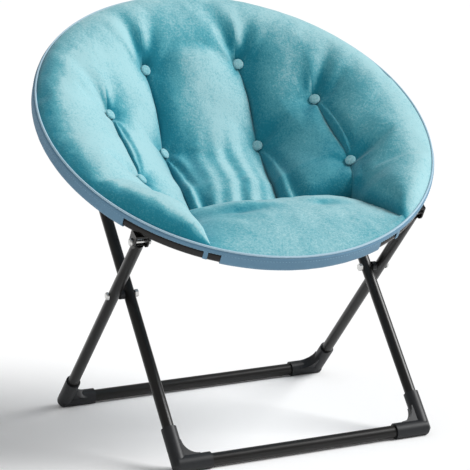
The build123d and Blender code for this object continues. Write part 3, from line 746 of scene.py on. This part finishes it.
def swellCovers(covers):
    trials = {name: addTrial("trial" + name, cover) for name, cover in covers.items()}
    scene = bpy.context.scene
    for step in range(1, swelling["frames"] + 1):
        scene.frame_set(step)
    graph = bpy.context.evaluated_depsgraph_get()
    for name, (trial, rows, columns, top) in trials.items():
        mesh = trial.evaluated_get(graph).data
        flat = np.empty(3 * len(mesh.vertices))
        mesh.vertices.foreach_get("co", flat)
        move = flat.reshape(-1, 3)[:len(top)] - top
        covers[name]["move"] = spreadMove(move, rows, columns, covers[name]["x"].shape)
        furthest = float(np.linalg.norm(covers[name]["move"], axis=1).max()) / mm
        print("swelled", name, "by up to", round(furthest, 1), "mm")
    for trial, _, _, _ in trials.values():
        mesh = trial.data
        bpy.data.objects.remove(trial)
        bpy.data.meshes.remove(mesh)
    scene.frame_set(1)


# Unevenness: rise, size, seed. The lean limits cap how far a slope's painted shade or light goes.
pads = {"uneven": ((1.5, 46.0, 1.0), (0.7, 19.0, 6.0)), "thinnest": 2.0, "floorInset": 0.999,
        "leanBack": 0.4, "leanSeat": 0.3, "leanSide": 0.5}


def shapeCover(x, v, heightAt, leanLimit, slopeShade=paintedShade["lean"]):
    n, litShare = heightAt(x, v)
    for rise, size, seed in pads["uneven"]:
        n = n + rise * unevenness(x, v, size, seed)
    n = roundEdge(x, v, n)
    # Painted shade and light: the crease share plus a part from the slope, towards or away from the light.
    lean = np.clip(crossSlope(x, n), -leanLimit, leanLimit)
    litShare = np.clip(paintedShade["litShare"] * litShare + slopeShade * lean, 0, 1)
    below = padFloor(x, v)
    return {"x": x, "v": v, "n": np.maximum(n, below + pads["thinnest"]), "below": below, "litShare": litShare}


def buildPad(name, cover, replaced, fill):
    x, v, litShare = cover["x"], cover["v"], cover["litShare"].ravel()
    top = seatToChair(x, v, cover["n"]).reshape(-1, 3) + cover["move"]
    inset = pads["floorInset"]
    bottom = seatToChair(x * inset, v * inset, cover["below"]).reshape(-1, 3)
    faces, _ = closedGrid(*x.shape)
    piece = newPiece(name, np.vstack([top, bottom]), faces)
    # The underside is given a low share: painted shade.
    shares = np.concatenate([litShare, np.full_like(litShare, paintedShade["underside"])])
    layer = piece.data.attributes.new("litShare", "FLOAT", "POINT")
    layer.data.foreach_set("value", shares.astype(np.float32))
    shapeUp(piece, meshing["sharpPad"])
    piece.data.materials.append(plush)
    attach(piece, "seat")
    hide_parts(replaced)


padGrid = {"centre": (132, 54), "outerBack": (126, 34), "side": (150, 40), "seat": (58, 104)}


def unitGrid(name, low, power=1.0):
    rows, columns = padGrid[name]
    return np.meshgrid(np.linspace(0, 1, rows) ** power, np.linspace(low, 1, columns), indexing="ij")


def centreGrid():
    u, t = unitGrid("centre", -1)
    plain = t * (cushion["innerChannel"] - cushion["gap"])
    front = cushion["creaseV"] + cushion["gap"]
    v = front + u * (toEdge(plain) - front)
    half = cushion["innerChannel"]
    left, right = channelX(-1, v), channelX(1, v)
    return plain + left * (half - plain) / (2 * half) + right * (half + plain) / (2 * half), v


def outerBackGrid(side):
    u, t = unitGrid("outerBack", 0)
    channel = cushion["innerChannel"] + cushion["gap"]
    front = cushion["creaseV"] + cushion["gap"]
    topX = channel + t * (cushion["outerChannel"] - cushion["gap"] - channel)
    v = front + u * (toEdge(topX) - front)
    start = channel + side * channelX(side, v)
    return side * (start + t * (seamX(v) - cushion["gap"] - start)), v


def sideGrid(side):
    rear = toEdge(cushion["outerChannel"] + 1)
    front = -rear
    for _ in range(12):
        front = -toEdge(leanedSeamX(side, front) + 1)
    u, t = unitGrid("side", 0)
    v = front + (rear - front) * u
    start = leanedSeamX(side, v) + cushion["gap"]
    end = np.maximum(toEdge(v), start)
    return side * (start + t * (end - start)), v


def seatGrid():
    u, s = unitGrid("seat", -1, 1.3)
    front = np.full_like(s, -300.0)
    for _ in range(12):
        front = -toEdge(s * (leanedSeamX(s, front) - cushion["gap"]))
    start = cushion["creaseV"] - cushion["gap"]
    v = start + u * (front - start)
    return s * (leanedSeamX(s, v) - cushion["gap"]), v


def buildCushion():
    covers = {"backPadCentre": shapeCover(*centreGrid(), backHeight, pads["leanBack"]),
              "seatPad": shapeCover(*seatGrid(), seatHeight, pads["leanSeat"])}
    replaced = {"backPadCentre": ("back_panel_centre", 0.7), "seatPad": ("seat_panel", 0.75)}
    for side, word in ((1, "Right"), (-1, "Left")):
        covers["backPad" + word] = shapeCover(*outerBackGrid(side), backHeight, pads["leanBack"])
        x, v = sideGrid(side)
        # Painted shade: left-facing slopes on the left roll are darkened further, fading out towards the
        # rear.
        extra = (paintedShade["leanLeft"] - paintedShade["lean"]) * easeIn((paintedShade["fadeTop"] - v) / paintedShade["fade"])
        sideLean = paintedShade["lean"] + (extra if side < 0 else 0.0)
        covers["sidePad" + word] = shapeCover(x, v, sideHeight, pads["leanSide"], sideLean)
        replaced["backPad" + word] = ("back_panel_" + word.lower(), 0.75)
        replaced["sidePad" + word] = ("side_panel_" + word.lower(), 0.8)
    swellCovers(covers)
    for name, cover in covers.items():
        buildPad(name, cover, *replaced[name])


buildCushion()
print("cushion panels built")

# Covered buttons: a domed cap with gathered cloth round its edge.
button = {"radius": 11.0, "height": 4.6, "lift": 1.4, "segments": 44, "pleats": 11, "pleatDepth": 0.3}


def buttonRings():
    r, h = button["radius"], button["height"]
    return [(0.0, h), (0.4 * r, 0.98 * h), (0.7 * r, 0.92 * h), (0.86 * r, 0.80 * h), (0.96 * r, 0.56 * h),
            (r, 0.3 * h), (0.95 * r, 0.0), (0.5 * r, -1.2 * h), (0.0, -1.2 * h)]


def buildButtons():
    verts, faces = [], []
    for tx, tv in tuftSpots:
        base = valley(tx, tv)
        slopeX = (valley(tx + 1, tv) - valley(tx - 1, tv)) / 2
        slopeV = (valley(tx, tv + 1) - valley(tx, tv - 1)) / 2
        up = Vector((-slopeX, -slopeV, 1)).normalized()
        turn = up.to_track_quat("Z", "Y").to_matrix()
        first = len(verts)
        rings = buttonRings()
        for r, h in rings:
            for j in range(button["segments"]):
                angle = 2 * math.pi * j / button["segments"]
                wave = button["pleatDepth"] * math.cos(button["pleats"] * angle) * (r / button["radius"]) ** 3
                reach = r + wave
                spot = Vector((reach * math.cos(angle), reach * math.sin(angle), h + button["lift"]))
                spot = turn @ spot
                verts.append(seatToChair(tx + spot.x, tv + spot.y, base + spot.z))
        faces += ringFaces(first, len(rings), button["segments"])
    piece = addPiece("tuftButtons", verts, faces, buttonPlush)
    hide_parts("tuft_buttons")


buildButtons()
print("buttons built")


def roundSeat(r, angle, n):
    return seatToChair(r * math.cos(angle), r * math.sin(angle), n)


# Edge trim: strips swept round the seat's axis between two angles.
def sweepRing(name, section, startDeg, endDeg, stepDeg, material, replaced, wobble=None):
    closed = abs(endDeg - startDeg) >= 359.9
    count = max(2, int(round(abs(endDeg - startDeg) / stepDeg)))
    angles = np.radians(np.linspace(startDeg, endDeg, count + (0 if closed else 1), endpoint=not closed))
    points = np.array(section)
    verts = []
    for angle in angles:
        r, n = points[:, 0], points[:, 1]
        if wobble:
            dr, dn = wobble(angle, points)
            r, n = r + dr, n + dn
        verts.append(roundSeat(r, angle, n))
    faces = ringFaces(0, len(angles), len(points), closed, not closed)
    piece = addPiece(name, np.vstack(verts), faces, material)
    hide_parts(replaced)
    return piece


rim = {"radius": 381.0, "drop": 18.0}
band = {"inner": 378.0, "inset": 0.2, "width": 16.6, "bottom": -6.5, "top": 4.0, "round": 3.6, "ripple": 0.25}
piping = {"radius": 390.4, "thickness": 2.1, "height": 5.2, "segments": 14}
pocket = {"inner": 11.65, "thickness": 1.9, "lower": -133.0, "hem": 0.45, "ripple": 0.3, "flapTop": -2.8,
          "endGap": 0.1}


def roundedBox(low, high, bottom, top, corner, steps=5):
    points = []
    for cx, cy, first in ((high - corner, top - corner, 0), (low + corner, top - corner, 90),
                          (low + corner, bottom + corner, 180), (high - corner, bottom + corner, 270)):
        for k in range(steps + 1):
            angle = math.radians(first + 90 * k / steps)
            points.append((cx + corner * math.cos(angle), cy + corner * math.sin(angle)))
    return points


def roundNoise(angle, scale, seed):
    return noise.noise(Vector((math.cos(angle) * scale, math.sin(angle) * scale, seed)))


def bandWobble(angle, points):
    wave = band["ripple"] * (roundNoise(angle, 9, 3.0) + 0.6 * roundNoise(angle, 30, 8.0))
    return wave * np.ones(len(points)), 0.4 * wave * np.ones(len(points))


# A wrap goes under the tube to its outer side, then straight up to the band.
def wrapSection(lower, inner, thickness):
    outerLine, innerLine = [], []
    steps = 20
    for k in range(steps + 1):
        angle = math.radians(lower * (1 - k / steps))
        hem = pocket["hem"] * math.exp(-k / 1.5)
        reach = inner + thickness + hem
        outerLine.append((rim["radius"] + reach * math.cos(angle), -rim["drop"] + reach * math.sin(angle)))
        innerLine.append((rim["radius"] + inner * math.cos(angle), -rim["drop"] + inner * math.sin(angle)))
    for share in (0.35, 0.7, 1.0):
        rise = -rim["drop"] + share * (rim["drop"] + pocket["flapTop"])
        outerLine.append((rim["radius"] + inner + thickness, rise))
        innerLine.append((rim["radius"] + inner, rise))
    return outerLine + innerLine[::-1]


def pocketWobble(angle, points):
    wave = pocket["ripple"] * roundNoise(angle, 14, 1.0)
    down, out = np.minimum(points[:, 1] + rim["drop"], 0), points[:, 0] - rim["radius"]
    outward = np.arctan2(down, out)
    move = abs(wave) * (np.hypot(down, out) > pocket["inner"] + 0.5)
    return move * np.cos(outward), move * np.sin(outward)


def buildTrim():
    inside, outside = band["inner"] + band["inset"], band["inner"] + band["width"]
    section = roundedBox(inside, outside, band["bottom"], band["top"], band["round"])
    edge = sweepRing("edgeBand", section, 0, 360, 1.0, cloths["bandCloth"], "edge_band",
                     bandWobble)
    turns = [2 * math.pi * k / piping["segments"] for k in range(piping["segments"])]
    circle = [(piping["radius"] + piping["thickness"] * math.cos(turn),
               piping["height"] + piping["thickness"] * math.sin(turn)) for turn in turns]
    cord = sweepRing("edgePiping", circle, 0, 360, 1.0, cloths["pipingCloth"], "edge_piping")
    sleeves = {"pocketLeft": ("pocket_left", 138.0, 216.5), "pocketRight": ("pocket_right", -21.0, 42.0),
               "pocketRear": ("pocket_rear", 54.0, 126.0), "pocketFront": ("pocket_front", -116.0, -68.0)}
    section = wrapSection(pocket["lower"], pocket["inner"], pocket["thickness"])
    for name, (node, start, end) in sleeves.items():
        sleeve = sweepRing(name, section, start + pocket["endGap"], end - pocket["endGap"], 1.0,
                           cloths["bandCloth"], node, pocketWobble)


buildTrim()
print("edge trim built")


# Straps: narrow loops under the rim tube, at two angles round the rim.
strap = {"lower": -20.0, "thickness": 1.5, "halfWidth": 4.0, "middles": (-120.0, -60.0), "steps": 7}


def buildStraps():
    points = np.array(wrapSection(strap["lower"], pocket["inner"], strap["thickness"]))
    half = math.degrees(strap["halfWidth"] / rim["radius"])
    verts, faces = [], []
    for middle in strap["middles"]:
        first = len(verts)
        for angle in np.radians(np.linspace(middle - half, middle + half, strap["steps"])):
            verts.extend(roundSeat(points[:, 0], angle, points[:, 1]))
        faces += ringFaces(first, strap["steps"], len(points), capped=True)
    piece = addPiece("rimStraps", verts, faces, cloths["bandCloth"])
    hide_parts("rim_straps")


buildStraps()
print("straps built")

# Sling: one hanging dish with soft radial folds near the rim and sewn gores.
# The folds and seams start at one radius and are full a distance further out; a round cut uses this
# share of its square.
sling = {"rings": 60, "spokes": 180, "thickness": 1.8, "drop": 0.4, "folds": 26, "foldDepth": 1.6,
         "foldStart": (150.0, 120.0), "foldEnd": (366.0, 40.0), "gores": 6, "seamRise": 0.7, "seamWidth": 6.0,
         "seamStart": (40.0, 30.0), "roundShare": 0.8}


def buildSling():
    share = np.linspace(0, 1, sling["rings"]) ** 0.85
    turns = np.linspace(0, 2 * math.pi, sling["spokes"], endpoint=False)
    r, angle = np.meshgrid(share * dish["edge"][0], turns, indexing="ij")
    x, v = r * np.cos(angle), r * np.sin(angle)
    (start, rise), (end, fall) = sling["foldStart"], sling["foldEnd"]
    fold = sling["foldDepth"] * np.cos(sling["folds"] * angle + 1.2 * np.sin(3 * angle))
    fold = fold * easeIn((r - start) / rise) * easeIn((end - r) / fall)
    start, rise = sling["seamStart"]
    seam = sling["seamRise"] * hump(r * np.sin(sling["gores"] * angle / 2), sling["seamWidth"])
    seam = seam * easeIn((r - start) / rise)
    outer = slingDepth(x, v) - sling["drop"] - sling["thickness"] - np.abs(fold) - seam
    inner = slingDepth(x, v) - sling["drop"] - np.abs(fold)
    layers = [seatToChair(x, v, inner).reshape(-1, 3), seatToChair(x, v, outer).reshape(-1, 3)]
    count, spokes = r.size, sling["spokes"]
    faces = []
    for quad in ringFaces(0, sling["rings"], spokes):
        faces += [quad, tuple(count + k for k in reversed(quad))]
    last = (sling["rings"] - 1) * spokes
    for j in range(spokes):
        a, b = last + j, last + (j + 1) % spokes
        faces.append((a, b, count + b, count + a))
    piece = addPiece("slingDish", np.vstack(layers), faces, cloths["slingCloth"])
    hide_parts("sling_bowl", "sling_front")


buildSling()
print("sling built")

# Stitches: short thread loops along the outer face of the band.
stitches = {"count": 420, "length": 3.4, "thickness": 0.45, "height": -3.6, "stand": 0.15,
            "across": 6, "along": 5}


def buildStitches():
    verts, faces = [], []
    across, along = stitches["across"], stitches["along"]
    outside = band["inner"] + band["width"] + stitches["stand"]
    for k in range(stitches["count"]):
        middle = 2 * math.pi * k / stitches["count"]
        first = len(verts)
        for i in range(along):
            t = i / (along - 1) - 0.5
            angle = middle + t * stitches["length"] / outside
            bulge = math.sqrt(max(1 - (2 * t) ** 2, 0.05))
            for j in range(across):
                turn = 2 * math.pi * j / across
                r = outside + stitches["thickness"] * bulge * math.cos(turn)
                n = stitches["height"] + stitches["thickness"] * bulge * math.sin(turn)
                verts.append(roundSeat(r, angle, n))
        faces += ringFaces(first, along, across, capped=True)
    piece = addPiece("bandStitches", verts, faces, cloths["threadCloth"])


buildStitches()
print("stitches built")

# Camera, floor and light.
camera = {"place": (-1.6743, -3.5496, 1.1443), "azimuth": -25.21, "elevation": 11.26, "roll": -0.70,
          "focalPixels": 2054.0, "imagePixels": 470.0, "sensor": 36.0, "far": 100.0}


def placeCamera():
    data = bpy.data.cameras.new("photoCamera")
    data.sensor_width = camera["sensor"]
    data.lens = camera["sensor"] * camera["focalPixels"] / camera["imagePixels"]
    data.clip_end = camera["far"]
    cam = linked("photoCamera", data)
    a, e, r = (math.radians(camera[k]) for k in ("azimuth", "elevation", "roll"))
    back = Vector((math.sin(a) * math.cos(e), -math.cos(a) * math.cos(e), math.sin(e)))
    right = Vector((math.cos(a), math.sin(a), 0))
    up = back.cross(right)
    rolledRight = right * math.cos(r) + up * math.sin(r)
    rolledUp = up * math.cos(r) - right * math.sin(r)
    turn = Matrix((rolledRight, rolledUp, back)).transposed()
    cam.matrix_world = Matrix.Translation(camera["place"]) @ turn.to_4x4()
    bpy.context.scene.camera = cam


studio = {"floorSize": 60.0, "floorHeight": -0.0005, "floorColor": (0.97, 0.97, 0.97), "worldLight": 0.40,
          "sun": {"from": (1.0, -0.40, 0.85), "strength": 3.4, "softness": 32.0},
          "fill": {"from": (-2.6, -2.8, 1.6), "aim": (0, 0, 0.45), "size": 2.4, "power": 5.0}}


def addLamp(light, place, spot):
    lamp = linked(light.name, light)
    lamp.location = place
    lamp.rotation_mode = "QUATERNION"
    lamp.rotation_quaternion = (Vector(spot) - lamp.location).to_track_quat("-Z", "Y")


def buildStudio():
    half = studio["floorSize"] / 2
    corners = [(-half, -half, 0), (half, -half, 0), (half, half, 0), (-half, half, 0)]
    floor = newPiece("studioFloor", corners, [(0, 1, 2, 3)])
    floor.location.z = studio["floorHeight"]
    material = bpy.data.materials.new("studioFloor")
    material.use_nodes = True
    shader = material.node_tree.nodes["Principled BSDF"]
    setInputs(shader, {"Base Color": studio["floorColor"], "Roughness": 0.9, "Specular IOR Level": 0.1})
    floor.data.materials.append(material)
    fill = bpy.data.lights.new("fillLamp", "AREA")
    fill.size = studio["fill"]["size"]
    fill.energy = studio["fill"]["power"]
    addLamp(fill, studio["fill"]["from"], studio["fill"]["aim"])
    sun = bpy.data.lights.new("softSun", "SUN")
    sun.energy = studio["sun"]["strength"]
    sun.angle = math.radians(studio["sun"]["softness"])
    addLamp(sun, studio["sun"]["from"], (0, 0, 0))
    world = bpy.data.worlds.new("studioWorld")
    bpy.context.scene.world = world
    world.use_nodes = True
    tree = world.node_tree
    soft = tree.nodes["Background"]
    setInputs(soft, {"Color": (1, 1, 1), "Strength": studio["worldLight"]})
    white = tree.nodes.new("ShaderNodeBackground")
    setInputs(white, {"Color": (1, 1, 1), "Strength": 1.0})
    path = tree.nodes.new("ShaderNodeLightPath")
    mix = tree.nodes.new("ShaderNodeMixShader")
    tree.links.new(path.outputs["Is Camera Ray"], mix.inputs["Fac"])
    tree.links.new(soft.outputs["Background"], mix.inputs[1])
    tree.links.new(white.outputs["Background"], mix.inputs[2])
    tree.links.new(mix.outputs["Shader"], tree.nodes["World Output"].inputs["Surface"])


placeCamera()
buildStudio()
bpy.context.scene.view_settings.view_transform = "Standard"
print("studio ready")
